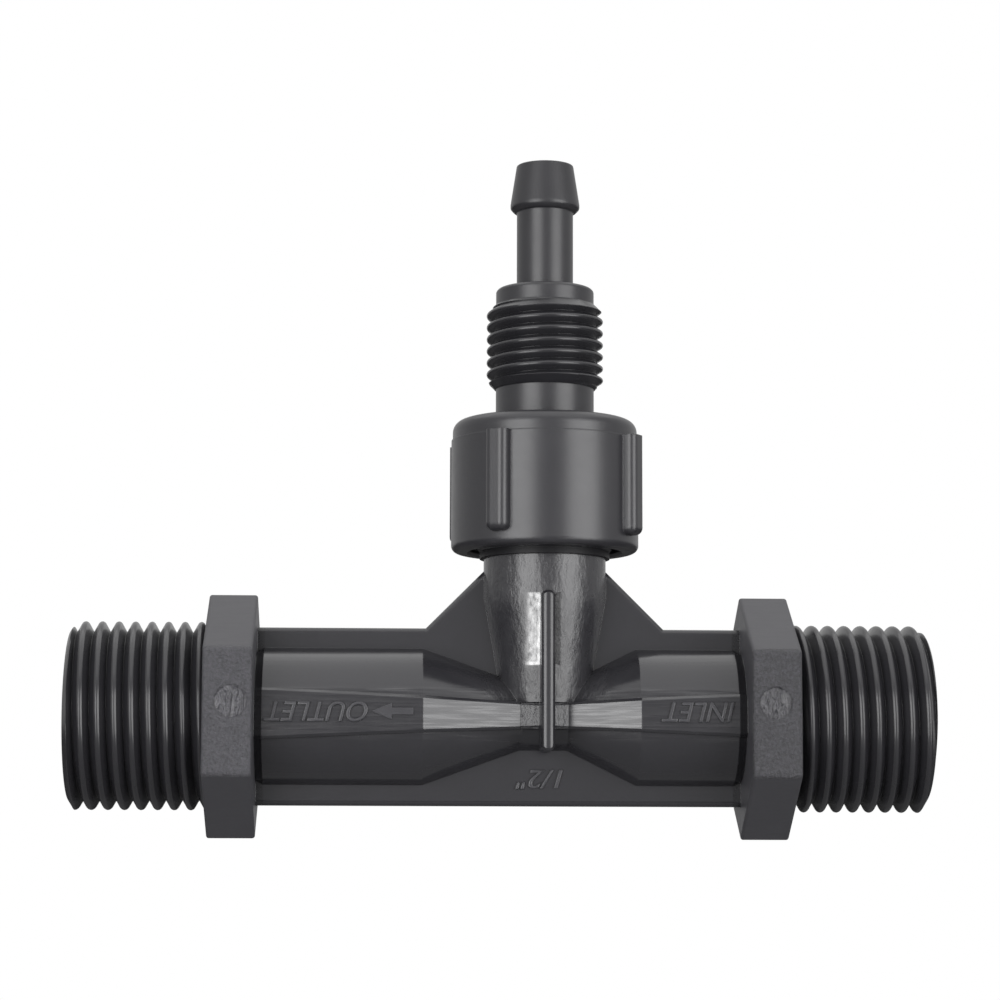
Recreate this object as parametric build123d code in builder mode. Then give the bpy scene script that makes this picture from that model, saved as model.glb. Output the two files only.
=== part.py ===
from build123d import *
from math import sqrt
import os

os.makedirs("parts", exist_ok=True)

# Venturi injector for a half inch water line. All lengths are in millimetres.
# Water enters at +X and leaves at -X, and the suction port points to +Z.
# The origin is where the water axis and the suction axis cross.

# Threads, modelled as rings at the thread's pitch
thread_root_share = 1 / 6
thread_flank_slope = 0.52
groove_overrun = 0.15

# Threaded pipe ends
pipe_thread_d = 20.7
pipe_thread_length = 15.0
pipe_thread_pitch = 1.814
pipe_thread_depth = 1.1
pipe_first_groove = 0.6
pipe_lead = 1.1
hex_flats = 23.3
hex_width = 5.35
hex_round = 0.45
hex_edge_round = 0.3

# Tube with its hourglass waist
inlet_hex_x = 21.7
outlet_hex_x = 31.8
tube_d = 15.1
waist_d = 7.5
inlet_cone_x = 10.1
inlet_waist_x = 2.4
outlet_waist_x = 2.85
outlet_cone_x = 13.55

# Water passage
bore_d = 11.4
mouth_chamfer = 0.8
throat_d = 3.2
mixing_d = 3.6
bore_overrun = 0.5
throat_inlet_x = 2.0
throat_outlet_x = 2.4

# Webs and gussets in the parting plane
web_half_height = 9.8
web_thickness = 1.6
web_round = 0.6
gusset_foot_x = 13.2

# Flat strips along the front and back of the tube
strip_raise = 0.3
strip_waist_raise = 1.05
strip_waist_half = 1.35
strip_taper = 0.047
strip_chamfer = 0.3

# Cross ribs between the boss and the waist
rib_width = 1.5
rib_reach = 7.7
rib_top_z = 13.5
rib_foot_z = -3.9
rib_round = 0.6
rib_chamfer = 0.25

# Suction boss and its threaded collar
boss_d = 13.6
boss_foot_d = 9.0
boss_break_z = 13.3
port_thread_d = 16.1
collar_z = 17.6
collar_height = 9.9
collar_foot_d = 14.5
collar_foot_height = 0.8
port_lead = 0.9

# Check valve chamber in the boss
chamber_d = 8.2
chamber_floor_z = 10.0
spring_pocket_z = 8.0
suction_hole_d = 2.0

# Flat seal on the rim of the collar
seal_d = 16.0
seal_thickness = 1.5

# Suction nipple
flange_d = 16.2
flange_thickness = 2.4
spigot_clearance = 0.3
spigot_length = 9.0
neck_d = 11.0
neck_height = 5.35
nipple_thread_d = 13.1
nipple_thread_length = 9.5
nipple_thread_pitch = 1.337
nipple_thread_depth = 0.8
nipple_first_groove = 1.13
nipple_lead = 0.9
ring_height = 1.9
ring_chamfer = 0.3
shank_d = 6.35
shank_length = 8.85
barb_d = 7.8
barb_lip = 0.9
barb_tip_d = 6.4
barb_length = 5.4
barb_round = 0.4
nipple_bore_d = 4.0
spigot_bore_d = 4.6
seat_chamfer = 0.6

# Union nut
nut_d = 20.9
nut_drop = 9.2
lip_thickness = 1.7
nut_thread_clearance = 0.35
lip_clearance = 0.3
nut_top_round = 1.3
nut_foot_round = 0.8
nut_mouth_chamfer = 0.3
shoulder_drop = 2.25
shoulder_step = 0.15
grip_count = 4
grip_first_angle = 239
grip_width = 2.6
grip_tip_d = 23.6
grip_end_gap = 1.5
grip_round = 0.8

# Check ball and its spring
ball_d = 7.0
seat_gap = 0.05
spring_wire_d = 0.5
spring_d = 3.8
spring_turns = 4
spring_facets = 8
spring_gap = 0.03

# Heights of the pieces stacked on the port
port_rim_z = collar_z + collar_height
seal_top_z = port_rim_z + seal_thickness
flange_top_z = seal_top_z + flange_thickness
nut_foot_z = port_rim_z - nut_drop
nut_top_z = flange_top_z + lip_thickness
spigot_foot_z = seal_top_z - spigot_length


def thread_grooves(crest_d, pitch, depth, top_z, length):
    """Half sections of the grooves between a thread's ridges, in the XZ plane.

    The first groove is at top_z and the others follow down to top_z - length.
    """
    root_half = pitch * thread_root_share / 2
    mouth_half = root_half + (depth + groove_overrun) * thread_flank_slope
    with BuildSketch(Plane.XZ) as grooves:
        with Locations(*((crest_d / 2, top_z - i * pitch) for i in range(int(length / pitch) + 1))):
            Polygon(
                (-depth, -root_half),
                (groove_overrun, -mouth_half),
                (groove_overrun, mouth_half),
                (-depth, root_half),
                align=None,
            )
    return grooves.sketch


# Pipe end: a hexagon with its threaded stub, standing on the hexagon's inner face
with BuildPart() as hexagon:
    with BuildSketch() as flats:
        RegularPolygon(hex_flats / 2, 6, major_radius=False)
        fillet(flats.vertices(), radius=hex_round)
    extrude(amount=hex_width)
    fillet(hexagon.faces().filter_by(Axis.Z).edges(), radius=hex_edge_round)

pipe_end_length = hex_width + pipe_thread_length
with BuildPart() as pipe_end:
    Cylinder(
        pipe_thread_d / 2,
        pipe_end_length,
        align=(Align.CENTER, Align.CENTER, Align.MIN),
    )
    chamfer(pipe_end.edges().sort_by(Axis.Z)[-1], length=pipe_lead)
    pipe_grooves = thread_grooves(
        pipe_thread_d,
        pipe_thread_pitch,
        pipe_thread_depth,
        pipe_end_length - pipe_first_groove,
        pipe_thread_length,
    )
    revolve(pipe_grooves, axis=Axis.Z, mode=Mode.SUBTRACT)
    add(hexagon.part)

# Rounded web plate: the top and bottom webs and the two gussets that brace the boss
with BuildPart() as web_plate:
    with BuildSketch(Plane.XZ):
        with BuildLine():
            Polyline(
                (-outlet_hex_x - web_round, -web_half_height),
                (inlet_hex_x + web_round, -web_half_height),
                (inlet_hex_x + web_round, web_half_height),
                (gusset_foot_x, web_half_height),
                (chamber_d / 2, web_half_height + gusset_foot_x - chamber_d / 2),
                (-chamber_d / 2, web_half_height + gusset_foot_x - chamber_d / 2),
                (-gusset_foot_x, web_half_height),
                (-outlet_hex_x - web_round, web_half_height),
                close=True,
            )
        make_face()
    extrude(amount=web_thickness / 2, both=True)
    fillet(web_plate.edges().filter_by(Axis.Y, reverse=True), radius=web_round)

# Cross rib: a thin plate across the tube that carries the boss down to the waist
with BuildPart() as cross_rib:
    with BuildSketch(Plane.XZ):
        with Locations((0, (rib_top_z + rib_foot_z) / 2)):
            RectangleRounded(rib_width, rib_top_z - rib_foot_z, rib_round)
    extrude(amount=rib_reach, both=True)
    rib_noses = cross_rib.faces().filter_by(Axis.Y)
    chamfer(rib_noses.edges(), length=rib_chamfer)

# Strips: seen from the front they narrow towards the waist, from above they follow the cones
strip_outlet_half = strip_waist_half + strip_taper * outlet_hex_x
strip_inlet_half = strip_waist_half + strip_taper * inlet_hex_x
with BuildPart() as strips:
    with BuildSketch(Plane.XZ):
        with BuildLine():
            Polyline(
                (-outlet_hex_x, -strip_outlet_half),
                (0, -strip_waist_half),
                (inlet_hex_x, -strip_inlet_half),
                (inlet_hex_x, strip_inlet_half),
                (0, strip_waist_half),
                (-outlet_hex_x, strip_outlet_half),
                close=True,
            )
        make_face()
    extrude(amount=tube_d, both=True)
    with BuildSketch(Plane.XY):
        with BuildLine():
            Polyline(
                (-outlet_hex_x, 0),
                (-outlet_hex_x, tube_d / 2 + strip_raise),
                (-outlet_cone_x, tube_d / 2 + strip_raise),
                (-outlet_waist_x, waist_d / 2 + strip_waist_raise),
                (inlet_waist_x, waist_d / 2 + strip_waist_raise),
                (inlet_cone_x, tube_d / 2 + strip_raise),
                (inlet_hex_x, tube_d / 2 + strip_raise),
                (inlet_hex_x, 0),
                close=True,
            )
        make_face()
        mirror(about=Plane.XZ)
    extrude(amount=tube_d, both=True, mode=Mode.INTERSECT)
    strip_fronts = strips.faces().filter_by(lambda face: abs(face.normal_at().Y) > 0.5)
    chamfer(strip_fronts.edges().filter_by(Axis.Z, reverse=True), length=strip_chamfer)

# Body: one moulding with both pipe ends, the waisted tube, the webs and the suction boss
collar_crest_z = collar_z + collar_foot_height + (port_thread_d - collar_foot_d) / 2
inlet_mouth_x = inlet_hex_x + hex_width + pipe_thread_length
outlet_mouth_x = outlet_hex_x + hex_width + pipe_thread_length
with BuildPart() as injector_body:
    with Locations(
        Plane(origin=(inlet_hex_x, 0, 0), x_dir=(0, 0, 1), z_dir=(1, 0, 0)),
        Plane(origin=(-outlet_hex_x, 0, 0), x_dir=(0, 0, 1), z_dir=(-1, 0, 0)),
    ):
        add(pipe_end.part)

    # Tube and cones, turned about the water axis
    with BuildSketch(Plane.XZ):
        with BuildLine():
            Polyline(
                (-outlet_hex_x, 0),
                (-outlet_hex_x, tube_d / 2),
                (-outlet_cone_x, tube_d / 2),
                (-outlet_waist_x, waist_d / 2),
                (inlet_waist_x, waist_d / 2),
                (inlet_cone_x, tube_d / 2),
                (inlet_hex_x, tube_d / 2),
                (inlet_hex_x, 0),
                close=True,
            )
        make_face()
    revolve(axis=Axis.X)

    add(web_plate.part)
    add(cross_rib.part)
    add(strips.part)

    # Boss and collar, turned about the suction axis
    with BuildSketch(Plane.XZ):
        with BuildLine():
            Polyline(
                (0, 0),
                (boss_foot_d / 2, 0),
                (boss_d / 2, boss_break_z),
                (boss_d / 2, collar_z),
                (collar_foot_d / 2, collar_z),
                (collar_foot_d / 2, collar_z + collar_foot_height),
                (port_thread_d / 2, collar_crest_z),
                (port_thread_d / 2, port_rim_z - port_lead),
                (port_thread_d / 2 - port_lead, port_rim_z),
                (0, port_rim_z),
                close=True,
            )
        make_face()
    revolve(axis=Axis.Z)

    # Water passage: bore, converging cone, throat, mixing hole, diffuser, bore
    with BuildSketch(Plane.XZ):
        with BuildLine():
            Polyline(
                (-outlet_mouth_x, 0),
                (-outlet_mouth_x, bore_d / 2 + mouth_chamfer),
                (-outlet_mouth_x + mouth_chamfer, bore_d / 2),
                (-outlet_cone_x - bore_overrun, bore_d / 2),
                (-throat_outlet_x, mixing_d / 2),
                (0, mixing_d / 2),
                (0, throat_d / 2),
                (throat_inlet_x, throat_d / 2),
                (inlet_cone_x + bore_overrun, bore_d / 2),
                (inlet_mouth_x - mouth_chamfer, bore_d / 2),
                (inlet_mouth_x, bore_d / 2 + mouth_chamfer),
                (inlet_mouth_x, 0),
                close=True,
            )
        make_face()
    revolve(axis=Axis.X, mode=Mode.SUBTRACT)

    # Suction way: valve chamber, spring pocket and the hole into the throat
    with BuildSketch(Plane.XZ):
        with BuildLine():
            Polyline(
                (0, 0),
                (suction_hole_d / 2, 0),
                (suction_hole_d / 2, spring_pocket_z),
                (spring_d / 2 + spring_wire_d, spring_pocket_z),
                (spring_d / 2 + spring_wire_d, chamber_floor_z),
                (chamber_d / 2, chamber_floor_z),
                (chamber_d / 2, port_rim_z),
                (0, port_rim_z),
                close=True,
            )
        make_face()
    revolve(axis=Axis.Z, mode=Mode.SUBTRACT)

# Flat seal: a stamped rubber ring between the rim of the collar and the nipple's flange
with BuildPart() as flange_seal:
    with BuildSketch(Plane.XY.offset(port_rim_z)):
        Circle(seal_d / 2)
        Circle(chamber_d / 2, mode=Mode.SUBTRACT)
    extrude(amount=seal_thickness)

# Suction nipple: spigot, flange, neck, thread, ring and hose barb in one moulding
neck_top_z = flange_top_z + neck_height
nipple_thread_top_z = neck_top_z + nipple_thread_length
ring_top_z = nipple_thread_top_z + ring_height
barb_foot_z = ring_top_z + shank_length
barb_top_z = barb_foot_z + barb_length
spigot_d = chamber_d - 2 * spigot_clearance
with BuildPart() as suction_nipple:
    with BuildSketch(Plane.XZ):
        with BuildLine():
            Polyline(
                (0, spigot_foot_z),
                (spigot_d / 2, spigot_foot_z),
                (spigot_d / 2, seal_top_z),
                (flange_d / 2, seal_top_z),
                (flange_d / 2, flange_top_z),
                (neck_d / 2, flange_top_z),
                (neck_d / 2, neck_top_z),
                (nipple_thread_d / 2 - nipple_lead, neck_top_z),
                (nipple_thread_d / 2, neck_top_z + nipple_lead),
                (nipple_thread_d / 2, nipple_thread_top_z - nipple_lead),
                (nipple_thread_d / 2 - nipple_lead, nipple_thread_top_z),
                (neck_d / 2, nipple_thread_top_z),
                (neck_d / 2, ring_top_z - ring_chamfer),
                (neck_d / 2 - ring_chamfer, ring_top_z),
                (shank_d / 2, ring_top_z),
                (shank_d / 2, barb_foot_z),
                (barb_d / 2 - barb_lip / 2, barb_foot_z),
                (barb_d / 2, barb_foot_z + barb_lip / 2),
                (barb_d / 2, barb_foot_z + barb_lip),
                (barb_tip_d / 2, barb_top_z),
                (0, barb_top_z),
                close=True,
            )
        make_face()
    revolve(axis=Axis.Z)
    fillet(suction_nipple.edges().sort_by(Axis.Z)[-1], radius=barb_round)
    nipple_grooves = thread_grooves(
        nipple_thread_d,
        nipple_thread_pitch,
        nipple_thread_depth,
        nipple_thread_top_z - nipple_first_groove,
        nipple_thread_length - nipple_first_groove,
    )
    revolve(nipple_grooves, axis=Axis.Z, mode=Mode.SUBTRACT)

    # Suction passage, wider in the spigot, with the seat of the check ball at its foot
    with BuildSketch(Plane.XZ):
        with BuildLine():
            Polyline(
                (0, spigot_foot_z),
                (spigot_bore_d / 2 + seat_chamfer, spigot_foot_z),
                (spigot_bore_d / 2, spigot_foot_z + seat_chamfer),
                (spigot_bore_d / 2, seal_top_z - (spigot_bore_d - nipple_bore_d) / 2),
                (nipple_bore_d / 2, seal_top_z),
                (nipple_bore_d / 2, barb_top_z),
                (0, barb_top_z),
                close=True,
            )
        make_face()
    revolve(axis=Axis.Z, mode=Mode.SUBTRACT)

# Nut grip: an upright rib with a rounded nose and a rounded lower end
shoulder_z = nut_top_z - shoulder_drop
grip_foot_z = nut_foot_z + grip_end_gap
nut_bore_d = port_thread_d + 2 * nut_thread_clearance
with BuildPart() as nut_grip:
    with BuildSketch(Plane.XY.offset(grip_foot_z)):
        with Locations(((nut_bore_d + grip_tip_d) / 4 + nut_thread_clearance, 0)):
            Rectangle(
                (grip_tip_d - nut_bore_d) / 2 - 2 * nut_thread_clearance,
                grip_width,
            )
    extrude(amount=shoulder_z - grip_foot_z)
    nose = nut_grip.faces().sort_by(Axis.X)[-1]
    fillet(nose.edges().filter_by(Axis.Z), radius=grip_round)
    foot_edges = nut_grip.faces().sort_by(Axis.Z)[0].edges().sort_by(Axis.X)
    fillet(foot_edges[-1], radius=grip_round)

# Union nut: a capped ring whose lip holds the nipple's flange down, with four grips
lip_hole_d = nipple_thread_d + 2 * lip_clearance
with BuildPart() as union_nut:
    with BuildSketch(Plane.XZ):
        with BuildLine():
            Polyline(
                (nut_bore_d / 2 + nut_mouth_chamfer, nut_foot_z),
                (nut_d / 2, nut_foot_z),
                (nut_d / 2, shoulder_z),
                (nut_d / 2 - shoulder_step, shoulder_z),
                (nut_d / 2 - shoulder_step, nut_top_z),
                (lip_hole_d / 2, nut_top_z),
                (lip_hole_d / 2, flange_top_z),
                (nut_bore_d / 2, flange_top_z),
                (nut_bore_d / 2, nut_foot_z + nut_mouth_chamfer),
                close=True,
            )
        make_face()
    revolve(axis=Axis.Z)
    rims = union_nut.edges().filter_by(GeomType.CIRCLE)
    fillet(rims.group_by(Axis.Z)[-1].sort_by(SortBy.RADIUS)[-1], radius=nut_top_round)
    fillet(rims.group_by(Axis.Z)[0].sort_by(SortBy.RADIUS)[-1], radius=nut_foot_round)

    for i in range(grip_count):
        add(nut_grip.part.rotate(Axis.Z, grip_first_angle + i * 360 / grip_count))

# Check ball, held against the chamfered seat at the foot of the spigot
seat_r = spigot_bore_d / 2 + seat_chamfer
ball_z = spigot_foot_z + seat_r - (ball_d / 2 + seat_gap) * sqrt(2)
with BuildPart() as check_ball:
    with Locations((0, 0, ball_z)):
        Sphere(ball_d / 2)

# Check spring: thin wire coiled between the pocket floor and the ball. An eight sided
# section stands for the round wire.
touch = ball_d / 2 + spring_wire_d / 2 + spring_gap
coil_top_z = ball_z - sqrt(touch**2 - (spring_d / 2) ** 2)
coil_foot_z = spring_pocket_z + spring_wire_d / 2 + spring_gap
with BuildPart() as check_spring:
    with BuildLine() as coil:
        Helix(
            pitch=(coil_top_z - coil_foot_z) / spring_turns,
            height=coil_top_z - coil_foot_z,
            radius=spring_d / 2,
            center=(0, 0, coil_foot_z),
        )
    with BuildSketch(Plane(origin=coil.line @ 0, z_dir=coil.line % 0)):
        RegularPolygon(spring_wire_d / 2, spring_facets)
    sweep(path=coil.line, is_frenet=True)

injector_body.part.label = "injector_body"
flange_seal.part.label = "flange_seal"
suction_nipple.part.label = "suction_nipple"
union_nut.part.label = "union_nut"
check_ball.part.label = "check_ball"
check_spring.part.label = "check_spring"

export_step(injector_body.part, "parts/injector_body.step")
export_step(flange_seal.part, "parts/flange_seal.step")
export_step(suction_nipple.part, "parts/suction_nipple.step")
export_step(union_nut.part, "parts/union_nut.step")
export_step(check_ball.part, "parts/check_ball.step")
export_step(check_spring.part, "parts/check_spring.step")
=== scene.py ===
from math import cos, pi, radians, sin

import bmesh
import bpy
from mathutils import Matrix, Vector


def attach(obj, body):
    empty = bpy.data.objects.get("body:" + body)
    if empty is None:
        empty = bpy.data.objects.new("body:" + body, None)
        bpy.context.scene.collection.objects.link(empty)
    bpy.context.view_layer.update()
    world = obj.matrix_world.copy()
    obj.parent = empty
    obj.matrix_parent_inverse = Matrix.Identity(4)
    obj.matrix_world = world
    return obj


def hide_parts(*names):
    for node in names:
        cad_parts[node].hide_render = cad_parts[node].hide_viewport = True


# Finish of a venturi injector for a half inch water line. Lengths are in millimetres
# and become metres when a piece is finished. The frame is the CAD model's: the water
# runs along X, the suction port points to +Z and the marked side faces -Y.
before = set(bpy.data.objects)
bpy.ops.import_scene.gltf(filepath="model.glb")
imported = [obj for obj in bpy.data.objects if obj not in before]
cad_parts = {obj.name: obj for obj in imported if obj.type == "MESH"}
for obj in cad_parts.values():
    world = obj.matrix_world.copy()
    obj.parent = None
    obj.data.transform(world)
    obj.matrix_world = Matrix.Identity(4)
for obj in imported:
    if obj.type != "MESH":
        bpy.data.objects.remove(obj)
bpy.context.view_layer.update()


# Camera: a long lens close to the injector, a little below it and looking slightly up.
# Its place, its turns and the lens, in widths of a pixel, were solved from the outlines
# of the pipe ends, the hexagons and the nut.
picture_pixels = 1000
lens_pixels = 2831.85
sensor_width = 36
camera_place = Vector((-17.85, -313.74, -14.80))
camera_yaw = radians(2.346)
camera_pitch = radians(7.088)
camera_roll = radians(0.1707)

forward = Vector(
    (
        sin(camera_yaw) * cos(camera_pitch),
        cos(camera_yaw) * cos(camera_pitch),
        sin(camera_pitch),
    )
)
level = Vector((cos(camera_yaw), -sin(camera_yaw), 0))
upright = level.cross(forward)
right = level * cos(camera_roll) + upright * sin(camera_roll)
up = upright * cos(camera_roll) - level * sin(camera_roll)
camera = bpy.data.objects.new("camera", bpy.data.cameras.new("camera"))
camera.matrix_world = Matrix.Translation(camera_place / 1000) @ Matrix(
    (right, up, -forward)
).transposed().to_4x4()
camera.data.sensor_width = sensor_width
camera.data.lens = lens_pixels * sensor_width / picture_pixels
camera.data.clip_start = 0.01
camera.data.clip_end = 50
bpy.context.scene.collection.objects.link(camera)
bpy.context.scene.camera = camera
bpy.context.scene.view_settings.view_transform = "Standard"


# Floor: a wide sheet of white paper, so far below the injector that no shadow falls
# inside the picture. The camera sees it glow, and from fade_start to fade_end from the
# middle it turns as white as the world behind it.
class Wire:
    """An output socket of a material or world. Arithmetic on it adds Math nodes."""

    def __init__(self, tree, socket=None):
        self.tree = tree
        self.socket = socket

    def node(self, kind, settings=None, sockets=None, out=0):
        """Adds a node of any kind, and gives the wire that leaves one of its outputs."""
        made = self.tree.nodes.new("ShaderNode" + kind)
        for name, value in (settings or {}).items():
            setattr(made, name, value)
        for name, value in (sockets or {}).items():
            if isinstance(value, Wire):
                self.tree.links.new(value.socket, made.inputs[name])
            else:
                made.inputs[name].default_value = value
        return Wire(self.tree, made.outputs[out] if made.outputs else None)

    def maths(self, operation, *values):
        return self.node("Math", {"operation": operation}, dict(enumerate(values)))

    def __abs__(self):
        return self.maths("ABSOLUTE", self)

    def __lt__(self, other):
        return self.maths("LESS_THAN", self, other)

    def __gt__(self, other):
        return self.maths("GREATER_THAN", self, other)

    def __add__(self, other):
        return self.maths("ADD", self, other)

    __radd__ = __add__

    def __sub__(self, other):
        return self.maths("SUBTRACT", self, other)

    def __rsub__(self, other):
        return self.maths("SUBTRACT", other, self)

    def __mul__(self, other):
        return self.maths("MULTIPLY", self, other)

    __rmul__ = __mul__


floor_z = -260
floor_half = 6000
floor_grey = 0.3
floor_glow = 0.62
fade_start = 300
fade_end = 560
white = (1, 1, 1, 1)

sheet = bmesh.new()
bmesh.ops.create_grid(sheet, x_segments=1, y_segments=1, size=floor_half / 1000)
bmesh.ops.translate(sheet, vec=(0, 0, floor_z / 1000), verts=sheet.verts)
floor = bpy.data.objects.new("floor", bpy.data.meshes.new("floor"))
sheet.to_mesh(floor.data)
sheet.free()
bpy.context.scene.collection.objects.link(floor)

paper = bpy.data.materials.new("floor_paper")
paper.use_nodes = True
paper.node_tree.nodes.clear()
ink = Wire(paper.node_tree)
seen = ink.node("LightPath")
matt = ink.node("BsdfDiffuse", sockets={"Color": (floor_grey, floor_grey, floor_grey, 1)})
glow = ink.node("Emission", sockets={"Color": white, "Strength": floor_glow})
blank = ink.node("Emission", sockets={"Color": white, "Strength": 1.0})
lit = ink.node("AddShader", sockets={0: matt, 1: glow})
distance = ink.node(
    "VectorMath", {"operation": "LENGTH"}, {0: ink.node("TexCoord", out=3)}, out=1
)
faded = ink.node(
    "MapRange",
    {"interpolation_type": "SMOOTHSTEP"},
    {"Value": distance, "From Min": fade_start / 1000, "From Max": fade_end / 1000},
)
viewed = ink.node("MixShader", sockets={0: faded, 1: lit, 2: blank})
paper_skin = ink.node("MixShader", sockets={0: seen, 1: matt, 2: viewed})
ink.node("OutputMaterial", sockets={"Surface": paper_skin})
floor.data.materials.append(paper)


# World: a white studio. The camera sees it at full strength, mirror-like reflections
# see it at reflected, and it adds little to the light on matt surfaces.
ambient = 0.06
reflected = 0.66

world = bpy.data.worlds.new("studio")
bpy.context.scene.world = world
world.use_nodes = True
world.node_tree.nodes.clear()
sky = Wire(world.node_tree)
seen = sky.node("LightPath")
mirrored = sky.node("LightPath", out=3)
strength = seen * (1 - ambient) + mirrored * (reflected - ambient) + ambient
backdrop = sky.node("Background", sockets={"Color": white, "Strength": strength})
sky.node("OutputWorld", sockets={"Surface": backdrop})


# Light: a large soft box overhead, and a smaller one to each side of the camera. Each
# has a place, a width, a height and a power in watts, and faces the origin.
soft_boxes = {
    "overhead": ((0, -60, 800), 1500, 1450, 6.4),
    "left": ((-344, -491, 14), 413, 512, 3.15),
    "right": ((424, -424, 14), 437, 512, 3.1),
}
for name, (place, width, height, power) in soft_boxes.items():
    lamp = bpy.data.lights.new(name, "AREA")
    lamp.shape = "RECTANGLE"
    lamp.size = width / 1000
    lamp.size_y = height / 1000
    lamp.energy = power
    box = bpy.data.objects.new(name, lamp)
    box.location = Vector(place) / 1000
    box.rotation_euler = (-box.location).to_track_quat("-Z", "Y").to_euler()
    box.visible_camera = False
    bpy.context.scene.collection.objects.link(box)


# Injector body: one moulding in charcoal glass filled nylon. The tube, webs and boss
# leave a polished tool, the hexagons a spark eroded one, and the threads are moulded
# in split cavities right up to the hexagon faces.
pipe_thread_d = 20.7
pipe_thread_pitch = 1.814
pipe_thread_depth = 1.2
pipe_thread_length = 15
pipe_first_valley = 0.6
pipe_lead = 0.6
pipe_lead_slope = 1.6
bore_d = 11.4
mouth_chamfer = 0.8
outlet_mouth_x = -52.15
inlet_mouth_x = 42.05

hex_flats = 23.3
hex_width = 5.35
hex_round = 0.45
hex_inside_r = 7
outlet_hex_x = -31.8
inlet_hex_x = 21.7
pin_mark_d = 3.6
pin_mark_depth = 0.14
pin_mark_draft = 0.06
pin_marks = ((-34.1, 1.05), (24.2, 1.1))

tube_d = 15.1
outlet_neck_x = -30.95
inlet_neck_x = 20.8
neck_depth = 0.45
neck_reach = 1.1
strip_half = 2.9
strip_start_x = 2.6
cone_end_x = 13.6
waist_half = 1.4
outlet_waist_x = -2.85
inlet_waist_x = 2.4

rib_half = 0.75
boss_foot_z = 1.8
boss_insert_z = 5.5
boss_break_z = 13.3
boss_top_z = 17.5
boss_half = 6.6
boss_front = 6.95

collar_d = 16.1
collar_z = 17.6
collar_rim_z = 27.5
collar_length = 9.1
collar_bore_d = 8.2
collar_first_valley = 0.6
collar_foot_lead = 1.1
fine_pitch = 1.337
fine_depth = 0.8
fine_mouth = 0.1
fine_lead = 0.9
round_steps = 96
skim = 0.02
sunk = 0.3
hair = 0.005


def noise(where, scale, detail, roughness=0.5, turn=0, stretch=(1, 1, 1)):
    """Noise from 0 to 1 with about scale patches to each unit of where, which is
    multiplied by stretch and then turned about Y."""
    laid = where.node(
        "Mapping", sockets={"Vector": where, "Rotation": (0, turn, 0), "Scale": stretch}
    )
    return where.node(
        "TexNoise",
        sockets={"Vector": laid, "Scale": scale, "Detail": detail, "Roughness": roughness},
    )


def charcoal(
    name, tone, roughness, grain, grain_depth, mottle, edge=0.18, relief=None, ior=1.53
):
    """Charcoal nylon. Grain, edge rounding and relief heights are in millimetres. Relief gives the
    height of a place, and what it adds to roughness, sheen and paleness. Some of that paleness is
    grain, and some is painted light and shade."""
    tint = (1, 0.98, 1.12)
    cloud_height = 0.012
    flow_height = 0.0012
    material = bpy.data.materials.new(name)
    material.use_nodes = True
    material.node_tree.nodes.clear()
    pen = Wire(material.node_tree)
    where = pen.node(
        "VectorMath", {"operation": "SCALE"}, {0: pen.node("TexCoord", out=3), "Scale": 1000.0}
    )
    cloud = noise(where, 0.3, 4.0, 0.6)
    flow = noise(where, 1.4, 3.0, 0.7, stretch=(0.25, 1, 1))
    pores = noise(where, 1 / grain, 3.0, 0.65)
    height = pores * grain_depth + cloud * cloud_height + flow * flow_height
    gloss = roughness + (cloud - 0.5) * mottle * 0.25 + (flow - 0.5) * 0.1
    shade = 0.5 + (cloud + pores - 1.0) * mottle * 0.5
    sheen = 0
    if relief:
        x, y, z = (pen.node("SeparateXYZ", sockets={0: where}, out=k) for k in range(3))
        raised, dulled, sheen, paleness_and_shade = relief(where, x, y, z)
        height = height + raised
        gloss = gloss + dulled
        # Painted light and shade: relief paleness also darkens or lightens places to stand in for
        # how light falls on them.
        shade = shade + paleness_and_shade
    dark = [tone * 0.5 * part for part in tint]
    pale = [tone * 1.5 * part for part in tint]
    colour = pen.node(
        "Mix", {"data_type": "RGBA"}, {0: shade, 6: (*dark, 1), 7: (*pale, 1)}, out=2
    )
    rounded = pen.node("Bevel", {"samples": 4}, {"Radius": edge / 1000})
    bumped = pen.node(
        "Bump",
        sockets={"Strength": 1.0, "Distance": 0.001, "Height": height, "Normal": rounded},
    )
    skin = pen.node(
        "BsdfPrincipled",
        sockets={
            "Base Color": colour,
            "Roughness": gloss,
            "Normal": bumped,
            "IOR": ior,
            "Coat Weight": sheen,
            "Coat Roughness": 0.2,
            "Coat IOR": 2.4,
        },
    )
    pen.node("OutputMaterial", sockets={"Surface": skin})
    return material


def band(value, low, high, blur):
    """One where value lies between low and high, and nothing outside."""
    rising, falling = (
        value.node(
            "MapRange",
            {"interpolation_type": "SMOOTHSTEP"},
            {
                "Value": value,
                "From Min": end - blur,
                "From Max": end + blur,
                "To Min": before,
                "To Max": 1 - before,
            },
        )
        for end, before in ((low, 0.0), (high, 1.0))
    )
    return rising * falling


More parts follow.
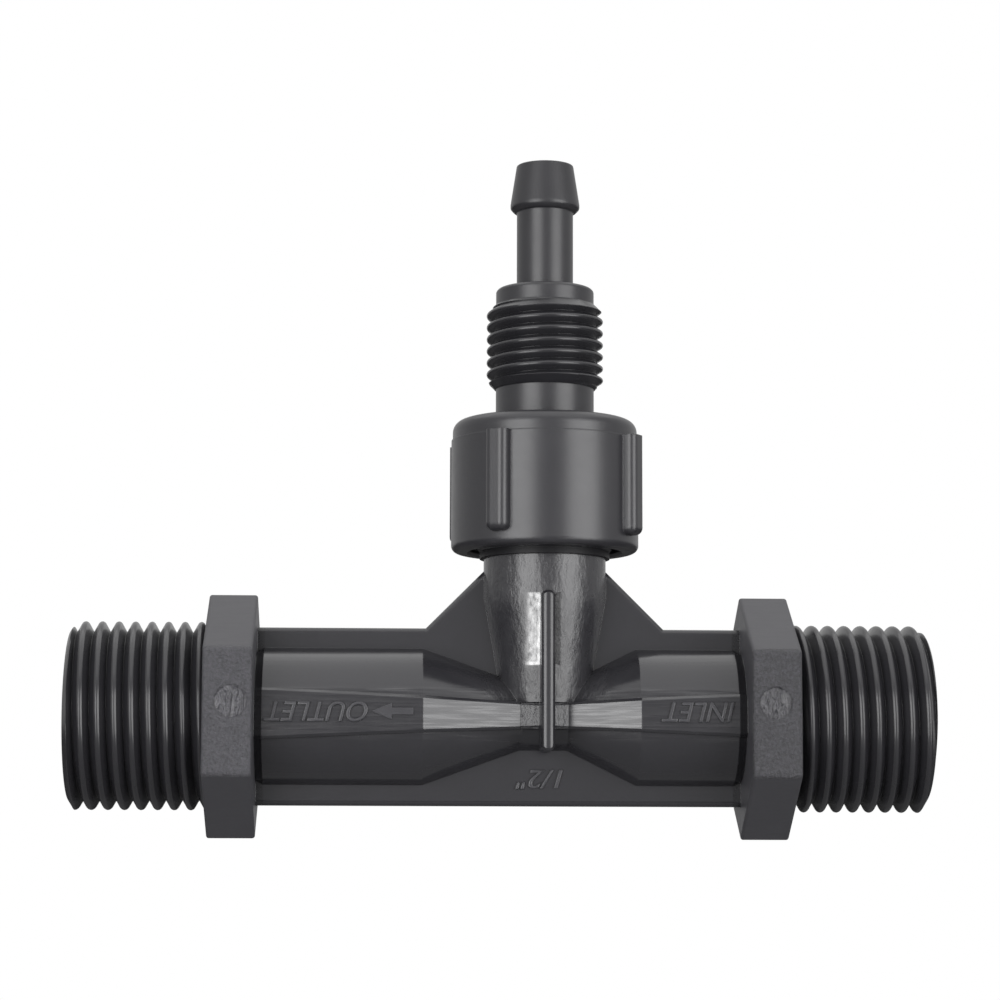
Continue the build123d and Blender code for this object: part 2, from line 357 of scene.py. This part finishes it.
def hexagon_marks(where, x, y, z):
    """Spark eroded flats on the front and back of both hexagons, and the torn floors of the ejector
    pins' marks. The outlet hexagon's front and back flats are painted paler than every other
    hexagon face, a painted difference of light between the two ends."""
    pit_height = 0.3
    floor_tear = 0.8
    pits = noise(where, 3.2, 4.0, 0.75) - 0.5
    torn = noise(where, 2.4, 3.0, turn=0.9, stretch=(1, 1, 0.35)) - 0.5
    flat = abs(y) > hex_flats / 2 - hex_round
    floors = 0
    for middle_x, middle_z in pin_marks:
        aside = x - middle_x
        above = z - middle_z
        reach = where.maths("SQRT", aside * aside + above * above)
        floors = floors + band(reach, -1, pin_mark_d / 2 - 0.1, 0.1)
    floors = floors * (y < 0.0)
    raised = floors * (torn * floor_tear - pits * pit_height) + flat * pits * pit_height
    dulled = flat * pits * 0.5 + (1 - flat) * 0.12
    sheen = floors * where.maths("MAXIMUM", torn, 0.0) * 3.0
    # Painted light and shade: besides grain, the outlet hexagon's flats are painted paler than the
    # inlet's, and all other faces darker.
    paleness_and_shade = flat * pits * 2.6 + flat * (x < 0.0) * 0.3 - 0.25
    return raised, dulled, sheen, paleness_and_shade


def tube_marks(where, x, y, z):
    """A mottled boss, a bright field at one side of the front rib and torn skin at the other,
    scratches along the strips, and narrow bands at the necks beside the hexagons. The torn skin
    beside the rib and the bands at the necks are painted darker, as painted shade."""
    boss_height = 0.14
    word_height = 0.03
    scratch_height = 0.02
    waist_height = 0.3
    waist_slope = 0.33
    scar_height = 0.5
    rib_crown = 0.4
    torn = noise(where, 1.1, 5.0, 0.6, turn=0.7, stretch=(1, 1, 0.5))
    coarse = noise(where, 2.6, 3.0, 0.6, turn=0.7, stretch=(1, 1, 0.5))
    drawn = noise(where, 4.5, 3.0, stretch=(0.05, 0.05, 1))
    aside = abs(x)
    off_rib = aside > rib_half + 0.05
    rib = (aside < rib_half + 0.03) * (y < -7.0)
    boss = band(z, boss_foot_z, boss_top_z, 0.4) * band(abs(y), 1.1, boss_front, 0.1)
    boss = boss * band(aside, -1.0, boss_half, 0.5)
    strip = band(z, -strip_half, strip_half, 0.2) * (aside > strip_start_x)
    words = strip * (aside > cone_end_x)
    waist = band(z, -waist_half, waist_half, 0.1) * off_rib
    waist = waist * band(x, outlet_waist_x, inlet_waist_x, 0.02)
    beside_rib = band(z, boss_insert_z, boss_break_z, 0.1) * off_rib * (y < -4.0)
    bright = beside_rib * band(x, -2.15, 0.0, 0.45)
    scarred_and_shaded = beside_rib * band(x, 0.0, 1.4, 0.1)
    inner = band(z, boss_insert_z + 0.35, 20.0, 0.08) * band(x, -9.0, -1.1, 0.08)
    neck = 1 - band(x, outlet_neck_x, inlet_neck_x, 0.1)
    raised = (
        (torn - 0.5) * (boss * boss_height + words * word_height)
        + strip * drawn * scratch_height
        + waist * (torn * waist_height - aside * waist_slope)
        + scarred_and_shaded * (coarse - 0.5) * scar_height
        - rib * x * x * rib_crown
    )
    dulled = boss * torn * 0.2 + scarred_and_shaded * 0.15
    sheen = (
        boss * torn * 0.14
        + bright * (coarse * 2.0 - 0.45)
        + bright * (1 - inner) * 0.4
        + strip * where.maths("MAXIMUM", drawn - 0.45, 0.0) * 0.7
    )
    # Painted shade: the torn skin beside the rib and the necks beside the hexagons are painted
    # darker.
    return raised, dulled, sheen, (scarred_and_shaded + neck) * -0.4


def cut_across(bm, place, outward, trim=False):
    """Cuts bm along a plane and gives the cut. Trim takes away what lies outward of it."""
    cut = bmesh.ops.bisect_plane(
        bm,
        geom=bm.verts[:] + bm.edges[:] + bm.faces[:],
        dist=0.0001,
        plane_co=place,
        plane_no=outward,
        clear_outer=trim,
    )
    return cut["geom_cut"]


def turn_round(bm, profile):
    """Spins a profile, of points with a radius and a height, once round Z."""
    points = [bm.verts.new((radius, 0, height)) for radius, height in profile]
    edges = [bm.edges.new(pair) for pair in zip(points, points[1:])]
    bmesh.ops.spin(
        bm,
        geom=points + edges,
        cent=(0, 0, 0),
        axis=(0, 0, 1),
        angle=2 * pi,
        steps=round_steps,
        use_merge=True,
    )


def cut_thread(
    crest_d, pitch, depth, length, first_valley, bore_d, mouth, lead, lead_slope=1, foot_lead=0
):
    """A right hand thread on a tube about Z, from its mouth at z = 0 down to -length.
    On the +X side its first valley lies first_valley below the mouth."""
    lead_steps = 4
    crest_rounding = 0.95
    weld = 0.001
    crest = crest_d / 2
    root = crest - depth
    land = pitch / 8
    turns = int(length / pitch) + 3
    start = -first_valley - (turns - 1) * pitch
    thread = bmesh.new()
    outline = [
        thread.verts.new((radius, 0, start + rise))
        for radius, rise in (
            (root, 0),
            (crest, pitch / 2 - land),
            (crest, pitch / 2 + land),
            (root, pitch),
        )
    ]
    edges = [thread.edges.new(pair) for pair in zip(outline, outline[1:])]
    bmesh.ops.spin(
        thread,
        geom=outline + edges,
        cent=(0, 0, 0),
        axis=(0, 0, 1),
        dvec=(0, 0, pitch / round_steps),
        angle=2 * pi * turns,
        steps=round_steps * turns,
    )
    bmesh.ops.remove_doubles(thread, verts=thread.verts, dist=weld)
    ridges = [
        edge
        for edge in thread.edges
        if edge.calc_face_angle(0) > 0.5 and edge.verts[0].co.xy.length > crest - depth / 2
    ]
    bmesh.ops.bevel(
        thread,
        geom=ridges,
        offset=land * crest_rounding,
        affect="EDGES",
        segments=4,
        profile=0.5,
        material=-1,
        clamp_overlap=True,
    )
    shares = [step / lead_steps for step in range(1, lead_steps + 1)]
    cuts = [(0, True)] + [(-lead * share, False) for share in shares]
    cuts += [(-length, True)]
    cuts += [(-length + foot_lead * share, False) for share in shares if foot_lead]
    for height, trim in cuts:
        outward = (0, 0, 1 if height > -length / 2 else -1)
        cut_across(thread, (0, 0, height), outward, trim)
    for vert in thread.verts:
        radius = Vector(vert.co.xy).length
        limit = crest
        if vert.co.z > -lead:
            limit = crest - (lead + vert.co.z) * lead_slope
        if foot_lead and vert.co.z < -length + foot_lead:
            limit = crest - (foot_lead - vert.co.z - length)
        if radius > limit:
            vert.co.xy *= limit / radius
    wall = ((bore_d / 2 + mouth, 0), (bore_d / 2, -mouth), (bore_d / 2, -length))
    turn_round(thread, wall)
    for height in (0, -length):
        rim = [
            edge
            for edge in thread.edges
            if edge.is_boundary and all(abs(v.co.z - height) < weld for v in edge.verts)
        ]
        bmesh.ops.bridge_loops(thread, edges=rim)
    bmesh.ops.recalc_face_normals(thread, faces=thread.faces)
    return thread


def fit(body, part, matrix, material_index):
    """Adds a copy of part to body, placed by matrix, in one material."""
    bmesh.ops.transform(part, matrix=matrix, verts=part.verts)
    for face in part.faces:
        face.material_index = material_index
    spare = bpy.data.meshes.new("spare")
    part.to_mesh(spare)
    part.free()
    body.from_mesh(spare)
    bpy.data.meshes.remove(spare)


def finish_piece(name, bm, body, materials, sharp=14):
    """Turns a bmesh in millimetres into a piece that rides on a CAD body. Edges are
    shaded sharp from an angle of sharp degrees."""
    bmesh.ops.scale(bm, vec=(0.001, 0.001, 0.001), verts=bm.verts)
    for face in bm.faces:
        face.smooth = True
    mesh = bpy.data.meshes.new(name)
    bm.to_mesh(mesh)
    bm.free()
    spent = mesh.attributes.get("custom_normal")
    if spent:
        mesh.attributes.remove(spent)
    mesh.set_sharp_from_angle(angle=radians(sharp))
    for material in materials:
        mesh.materials.append(material)
    piece = bpy.data.objects.new(name, mesh)
    bpy.context.scene.collection.objects.link(piece)
    even = piece.modifiers.new("even_shading", "WEIGHTED_NORMAL")
    even.keep_sharp = True
    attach(piece, body)
    return piece


smooth_nylon = charcoal(
    "smooth_nylon",
    tone=0.025,
    roughness=0.2,
    grain=0.35,
    grain_depth=0.0012,
    mottle=0.25,
    edge=0.12,
    relief=tube_marks,
)
hexagon_nylon = charcoal(
    "hexagon_nylon",
    tone=0.056,
    roughness=0.38,
    grain=0.3,
    grain_depth=0.004,
    mottle=0.3,
    edge=0.5,
    relief=hexagon_marks,
)
thread_nylon = charcoal(
    "thread_nylon", tone=0.02, roughness=0.24, grain=0.3, grain_depth=0.002, mottle=0.25, edge=0.08
)
# Painted shade: a darker copy of the nylon, with a weaker reflection, for the collar's foot in the
# nut's shadow.
nut_shadow_nylon = charcoal(
    "nut_shadow_nylon", tone=0.012, roughness=0.45, grain=0.35, grain_depth=0.0012, mottle=0.25, ior=1.3
)

# The CAD body without its ring threads
moulding = bmesh.new()
moulding.from_mesh(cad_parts["injector_body"].data)
bmesh.ops.scale(moulding, vec=(1000, 1000, 1000), verts=moulding.verts)
bmesh.ops.remove_doubles(moulding, verts=moulding.verts, dist=0.0005)
for place, outward in (
    ((outlet_mouth_x + pipe_thread_length - skim, 0, 0), (-1, 0, 0)),
    ((inlet_mouth_x - pipe_thread_length + skim, 0, 0), (1, 0, 0)),
    ((0, 0, collar_rim_z - collar_length + skim), (0, 0, 1)),
):
    cut = cut_across(moulding, place, outward, trim=True)
    rims = [edge for edge in cut if isinstance(edge, bmesh.types.BMEdge)]
    bmesh.ops.bridge_loops(moulding, edges=rims)

# The tube narrows to a neck just before each hexagon
for place_x in (outlet_neck_x, inlet_neck_x):
    cut_across(moulding, (place_x, 0, 0), (1, 0, 0))
for vert in moulding.verts:
    at_hexagon = min(abs(vert.co.x - inlet_hex_x), abs(vert.co.x - outlet_hex_x)) < 2 * hair
    reach = Vector(vert.co.yz).length
    if at_hexagon and abs(reach - tube_d / 2) < neck_reach:
        vert.co.yz *= (reach - neck_depth) / reach

# The front flat of each hexagon, with an ejector pin's sunk mark
for middle_x, middle_z in pin_marks:
    flat = {
        face
        for face in moulding.faces
        if all(
            abs(v.co.y + hex_flats / 2) < hair and abs(v.co.x - middle_x) < hex_width
            for v in face.verts
        )
    }
    rim = {
        edge for face in flat for edge in face.edges if len(flat.intersection(edge.link_faces)) == 1
    }
    bmesh.ops.delete(moulding, geom=list(flat), context="FACES")
    face_front = Matrix.Translation((middle_x, -hex_flats / 2, middle_z))
    round_mark = bmesh.ops.create_circle(
        moulding,
        segments=40,
        radius=pin_mark_d / 2,
        matrix=face_front @ Matrix.Rotation(pi / 2, 4, "X"),
    )
    ring = {edge for vert in round_mark["verts"] for edge in vert.link_edges}
    bmesh.ops.triangle_fill(
        moulding, use_beauty=True, edges=list(rim | ring), normal=(0, -1, 0)
    )
    wall = bmesh.ops.extrude_edge_only(moulding, edges=list(ring))["geom"]
    foot = [v for v in wall if isinstance(v, bmesh.types.BMVert)]
    bmesh.ops.translate(moulding, vec=(0, pin_mark_depth, 0), verts=foot)
    for vert in foot:
        vert.co.x += (middle_x - vert.co.x) * pin_mark_draft
        vert.co.z += (middle_z - vert.co.z) * pin_mark_draft
    foot_ring = [
        e for e in wall if isinstance(e, bmesh.types.BMEdge) and all(v in foot for v in e.verts)
    ]
    bmesh.ops.edgeloop_fill(moulding, edges=foot_ring)
bmesh.ops.recalc_face_normals(moulding, faces=moulding.faces)

smooth_index, hexagon_index, thread_index, nut_shadow_index = range(4)
for face in moulding.faces:
    x, y, z = face.calc_center_median()
    at_hexagon = x < outlet_hex_x + 0.1 or x > inlet_hex_x - 0.1
    if at_hexagon and Vector((y, z)).length > hex_inside_r:
        face.material_index = hexagon_index
    # Painted shade: the collar's foot under the nut takes the darker nylon.
    elif z > collar_z - 0.05:
        face.material_index = nut_shadow_index
    else:
        face.material_index = smooth_index

outlet_turn = Matrix.Rotation(radians(-90), 4, "Y")
inlet_turn = Matrix.Rotation(pi, 4, "Z") @ outlet_turn
for mouth_x, turn in ((outlet_mouth_x, outlet_turn), (inlet_mouth_x, inlet_turn)):
    stub = cut_thread(
        pipe_thread_d,
        pipe_thread_pitch,
        pipe_thread_depth,
        length=pipe_thread_length + sunk,
        first_valley=pipe_first_valley,
        bore_d=bore_d,
        mouth=mouth_chamfer,
        lead=pipe_lead,
        lead_slope=pipe_lead_slope,
    )
    fit(moulding, stub, Matrix.Translation((mouth_x, 0, 0)) @ turn, thread_index)
stub = cut_thread(
    collar_d,
    fine_pitch,
    fine_depth,
    length=collar_length + sunk,
    first_valley=collar_first_valley,
    bore_d=collar_bore_d,
    mouth=fine_mouth,
    lead=fine_lead,
    foot_lead=collar_foot_lead,
)
fit(moulding, stub, Matrix.Translation((0, 0, collar_rim_z)), thread_index)
body = finish_piece(
    "injector_body_dressed",
    moulding,
    "injector",
    [smooth_nylon, hexagon_nylon, thread_nylon, nut_shadow_nylon],
)
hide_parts("injector_body")


# Moulded marks: thin raised letters and an arrow in the flow's direction on the front
# strip, and the pipe size on the lower web. They stand upside down to the port.
mark_lift = 0.16
mark_bevel = 0.7 * mark_lift
mark_slant = 0.25
mark_thinning = 0.022
strip_y = -7.85
web_y = -0.8
raised_words = (
    ("outlet_word", "OUTLET", 3.0, (-25.15, strip_y, 0.3), 11.3),
    ("inlet_word", "INLET", 3.0, (16.2, strip_y, 0.4), 8.0),
    ("size_mark", '1/2"', 2.9, (-0.65, web_y, -6.7), 5.3),
)
arrow_tip_x = -19.1
arrow_neck_x = -16.9
arrow_tail_x = -14.6
arrow_z = 0.25
arrow_half = 0.9
shaft_half = 0.37
arrow_lift = 0.18


def raised_mark(name, words, size, place, width):
    """Raised slanting letters, centred on place, width wide and turned to face -Y."""
    letters = bpy.data.curves.new(name, "FONT")
    letters.body = words
    letters.size = size
    letters.shear = mark_slant
    letters.offset = -size * mark_thinning
    letters.extrude = mark_lift
    letters.bevel_depth = mark_bevel
    letters.bevel_resolution = 1
    letters.align_x = "CENTER"
    letters.align_y = "CENTER"
    stand = bpy.data.objects.new(name, letters)
    bpy.context.scene.collection.objects.link(stand)
    shape = bmesh.new()
    mesh = bpy.data.meshes.new_from_object(stand)
    shape.from_mesh(mesh)
    bpy.data.objects.remove(stand)
    bpy.data.meshes.remove(mesh)
    low = min(v.co.x for v in shape.verts)
    high = max(v.co.x for v in shape.verts)
    stretch = width / (high - low)
    bmesh.ops.translate(shape, vec=(-(low + high) / 2, 0, 0), verts=shape.verts)
    bmesh.ops.scale(shape, vec=(stretch, 1, 1), verts=shape.verts)
    upside_down = Matrix.Rotation(pi, 4, "Y") @ Matrix.Rotation(pi / 2, 4, "X")
    bmesh.ops.transform(
        shape, matrix=Matrix.Translation(place) @ upside_down, verts=shape.verts
    )
    return shape


marks = bmesh.new()
for row in raised_words:
    fit(marks, raised_mark(*row), Matrix.Identity(4), 0)

arrow = bmesh.new()
corners = [
    arrow.verts.new((x, strip_y + skim, arrow_z + above))
    for x, above in (
        (arrow_tip_x, 0),
        (arrow_neck_x, arrow_half),
        (arrow_neck_x, shaft_half),
        (arrow_tail_x, shaft_half),
        (arrow_tail_x, -shaft_half),
        (arrow_neck_x, -shaft_half),
        (arrow_neck_x, -arrow_half),
    )
]
plate = bmesh.ops.extrude_face_region(arrow, geom=[arrow.faces.new(corners)])
plate_front = [v for v in plate["geom"] if isinstance(v, bmesh.types.BMVert)]
bmesh.ops.translate(arrow, vec=(0, -arrow_lift - skim, 0), verts=plate_front)
bmesh.ops.recalc_face_normals(arrow, faces=arrow.faces)
fit(marks, arrow, Matrix.Identity(4), 0)

mark_nylon = charcoal(
    "mark_nylon", tone=0.036, roughness=0.36, grain=0.3, grain_depth=0.012, mottle=0.4, edge=0.06
)
finish_piece("moulded_marks", marks, "injector", [mark_nylon], sharp=40)


# Union nut: a round cap in the same nylon with four grips. It turns on the collar and
# its lip holds the nipple's flange down on the seal.
nut_nylon = charcoal(
    "nut_nylon", tone=0.025, roughness=0.33, grain=0.35, grain_depth=0.003, mottle=0.35
)
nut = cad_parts["union_nut"]
nut.data.materials.clear()
nut.data.materials.append(nut_nylon)


# Suction nipple: spigot, flange, neck, thread, ring and hose barb in one moulding. The
# thread takes a hose clamping nut, and the barb the hose itself.
nipple_thread_d = 13.1
nipple_first_valley = 1.13
sleeve_bore_d = 10.0
spigot_d = 7.6
spigot_foot_z = 20.0
spigot_bore_d = 4.6
seat_chamfer = 0.6
flange_d = 16.2
flange_z = 29.0
flange_top_z = 31.4
neck_d = 11.0
neck_top_z = 36.75
thread_top_z = 46.25
ring_top_z = 48.15
ring_chamfer = 0.3
shank_d = 6.35
barb_d = 7.8
barb_z = 57.0
barb_chamfer = 0.45
barb_lip = 0.9
barb_tip_d = 6.4
barb_top_z = 62.4
nipple_bore_d = 4.0
bore_step = 0.3
corner_round = 0.16

core = bmesh.new()
turn_round(
    core,
    (
        (spigot_bore_d / 2 + seat_chamfer, spigot_foot_z),
        (spigot_d / 2, spigot_foot_z),
        (spigot_d / 2, flange_z),
        (flange_d / 2, flange_z),
        (flange_d / 2, flange_top_z),
        (neck_d / 2, flange_top_z),
        (neck_d / 2, ring_top_z - ring_chamfer),
        (neck_d / 2 - ring_chamfer, ring_top_z),
        (shank_d / 2, ring_top_z),
        (shank_d / 2, barb_z),
        (barb_d / 2 - barb_chamfer, barb_z),
        (barb_d / 2, barb_z + barb_chamfer),
        (barb_d / 2, barb_z + barb_lip),
        (barb_tip_d / 2, barb_top_z),
        (nipple_bore_d / 2, barb_top_z),
        (nipple_bore_d / 2, flange_z),
        (spigot_bore_d / 2, flange_z - bore_step),
        (spigot_bore_d / 2, spigot_foot_z + seat_chamfer),
        (spigot_bore_d / 2 + seat_chamfer, spigot_foot_z),
    ),
)
bmesh.ops.remove_doubles(core, verts=core.verts, dist=0.0005)
bmesh.ops.recalc_face_normals(core, faces=core.faces)
corners = [
    edge
    for edge in core.edges
    if len(edge.link_faces) == 2 and edge.calc_face_angle() > 0.3
]
bmesh.ops.bevel(
    core,
    geom=corners,
    offset=corner_round,
    affect="EDGES",
    segments=3,
    profile=0.5,
    material=-1,
    clamp_overlap=True,
)
sleeve = cut_thread(
    nipple_thread_d,
    fine_pitch,
    fine_depth,
    length=thread_top_z - neck_top_z,
    first_valley=nipple_first_valley,
    bore_d=sleeve_bore_d,
    mouth=fine_mouth,
    lead=fine_lead,
    foot_lead=fine_lead,
)
fit(core, sleeve, Matrix.Translation((0, 0, thread_top_z)), 1)
nipple_nylon = charcoal(
    "nipple_nylon", tone=0.021, roughness=0.36, grain=0.35, grain_depth=0.003, mottle=0.35
)
nipple = finish_piece(
    "suction_nipple_dressed",
    core,
    "suction",
    [nipple_nylon, thread_nylon],
    sharp=26,
)
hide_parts("suction_nipple")


# Flat seal: a stamped black rubber ring on the collar's rim, under the nipple's flange,
# which squeezes it when the nut is tight.
dark_rubber = (0.012, 0.012, 0.012, 1)
dusty_rubber = (0.035, 0.035, 0.034, 1)

rubber = bpy.data.materials.new("seal_rubber")
rubber.use_nodes = True
rubber.node_tree.nodes.clear()
pen = Wire(rubber.node_tree)
dust = noise(pen.node("TexCoord", out=3), 2500.0, 4.0)
rubber_skin = pen.node(
    "BsdfPrincipled",
    sockets={
        "Base Color": pen.node(
            "Mix", {"data_type": "RGBA"}, {0: dust, 6: dark_rubber, 7: dusty_rubber}, out=2
        ),
        "Roughness": 0.6 + dust * 0.2,
        "Normal": pen.node(
            "Bump", sockets={"Strength": 1.0, "Distance": 0.00001, "Height": dust}
        ),
    },
)
pen.node("OutputMaterial", sockets={"Surface": rubber_skin})
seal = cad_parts["flange_seal"]
seal.data.materials.clear()
seal.data.materials.append(rubber)


# Check valve: a ground ball of stainless steel on a light spring, which is coiled from
# drawn stainless wire and stands in the pocket under the ball.
bright_steel = (0.62, 0.62, 0.63, 1)

steel = bpy.data.materials.new("valve_steel")
steel.use_nodes = True
steel.node_tree.nodes.clear()
pen = Wire(steel.node_tree)
scratches = noise(pen.node("TexCoord", out=3), 900.0, 5.0, stretch=(1, 1, 12))
steel_skin = pen.node(
    "BsdfPrincipled",
    sockets={
        "Base Color": bright_steel,
        "Metallic": 1.0,
        "Roughness": 0.14 + scratches * 0.16,
        "Normal": pen.node(
            "Bump", sockets={"Strength": 1.0, "Distance": 0.000002, "Height": scratches}
        ),
    },
)
pen.node("OutputMaterial", sockets={"Surface": steel_skin})
for name in ("check_ball", "check_spring"):
    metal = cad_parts[name]
    metal.data.materials.clear()
    metal.data.materials.append(steel)
